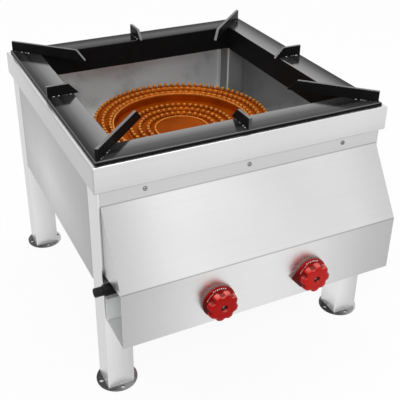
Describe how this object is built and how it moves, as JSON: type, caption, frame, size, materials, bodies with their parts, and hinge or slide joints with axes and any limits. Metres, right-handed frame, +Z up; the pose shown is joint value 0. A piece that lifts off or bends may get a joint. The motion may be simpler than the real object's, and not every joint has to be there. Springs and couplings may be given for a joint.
{
  "type": "stock pot range",
  "caption": "Low square gas range for stock pots: stainless body on tube legs, double-ring burner, lift-off black pan support and a sloping control box with red knobs.",
  "frame": {"origin": "bottom centre of the whole object's box, on the floor", "axes": "+Z up, -Y the front with the knobs, +X to the right as seen from the front"},
  "size_m": [0.622, 0.7138, 0.5285],
  "materials": {
    "stainless": "brushed stainless sheet and tube, grain along each piece",
    "zinc_steel": "zinc plated steel",
    "black_enamel": "glossy black enamel on steel",
    "cast_burner": "cast iron with a warm copper-brown coat",
    "grey_iron": "rough grey casting",
    "black_pipe": "black painted steel pipe",
    "red_knob": "glossy red moulding",
    "brass": "machined brass",
    "aluminium_tube": "drawn aluminium tube"
  },
  "bodies": {
    "range_body": {"apron": "stainless", "box_cheek_left": "stainless", "box_cheek_right": "stainless", "burner_cap_inner": "cast_burner", "burner_cap_outer": "cast_burner", "burner_casting_inner": "cast_burner", "burner_casting_outer": "cast_burner", "burner_posts": "zinc_steel", "burner_rail_front": "zinc_steel", "burner_rail_rear": "zinc_steel", "cock_body_left": "brass", "cock_body_right": "brass", "cock_bonnet_left": "brass", "cock_bonnet_right": "brass", "control_box": "stainless", "foot_front_left": "stainless", "foot_front_right": "stainless", "foot_rear_left": "stainless", "foot_rear_right": "stainless", "inlet_collar": "black_pipe", "inlet_nipple": "black_pipe", "jet_left": "brass", "jet_right": "brass", "leg_front_left": "stainless", "leg_front_right": "stainless", "leg_rear_left": "stainless", "leg_rear_right": "stainless", "manifold_bracket_left": "zinc_steel", "manifold_bracket_right": "zinc_steel", "manifold_pipe": "black_pipe", "manifold_plug": "black_pipe", "mixing_tube_left": "grey_iron", "mixing_tube_right": "grey_iron", "panel_front": "stainless", "panel_left": "stainless", "panel_rear": "stainless", "panel_right": "stainless", "panel_screws": "zinc_steel", "supply_tube_left": "aluminium_tube", "supply_tube_right": "aluminium_tube"},
    "pan_support": {"support_arm_front": "black_enamel", "support_arm_front_left": "black_enamel", "support_arm_front_right": "black_enamel", "support_arm_left": "black_enamel", "support_arm_rear": "black_enamel", "support_arm_rear_left": "black_enamel", "support_arm_rear_right": "black_enamel", "support_arm_right": "black_enamel", "support_rail_front": "black_enamel", "support_rail_left": "black_enamel", "support_rail_rear": "black_enamel", "support_rail_right": "black_enamel"},
    "knob_left_set": {"knob_left": "red_knob", "spindle_left": "brass", "knob_screw_left": "zinc_steel"},
    "knob_right_set": {"knob_right": "red_knob", "spindle_right": "brass", "knob_screw_right": "zinc_steel"},
    "shutter_left_set": {"air_shutter_left": "zinc_steel"},
    "shutter_right_set": {"air_shutter_right": "zinc_steel"}
  },
  "joints": [
    {"name": "pan_support_lift", "type": "slide", "parent": "range_body", "child": "pan_support", "axis": [0, 0, 1], "range_m": [0, 0.12]},
    {"name": "knob_left_turn", "type": "hinge", "parent": "range_body", "child": "knob_left_set", "pos_m": [-0.099, -0.32814, 0.2215], "axis": [0, -1, 0], "range_deg": [0, 90]},
    {"name": "knob_right_turn", "type": "hinge", "parent": "range_body", "child": "knob_right_set", "pos_m": [0.099, -0.32814, 0.2215], "axis": [0, -1, 0], "range_deg": [0, 90]},
    {"name": "shutter_left_turn", "type": "hinge", "parent": "range_body", "child": "shutter_left_set", "pos_m": [-0.099, -0.25714, 0.329], "axis": [0, -1, 0], "range_deg": [0, 60]},
    {"name": "shutter_right_turn", "type": "hinge", "parent": "range_body", "child": "shutter_right_set", "pos_m": [0.099, -0.25714, 0.329], "axis": [0, -1, 0], "range_deg": [0, 60]}
  ]
}
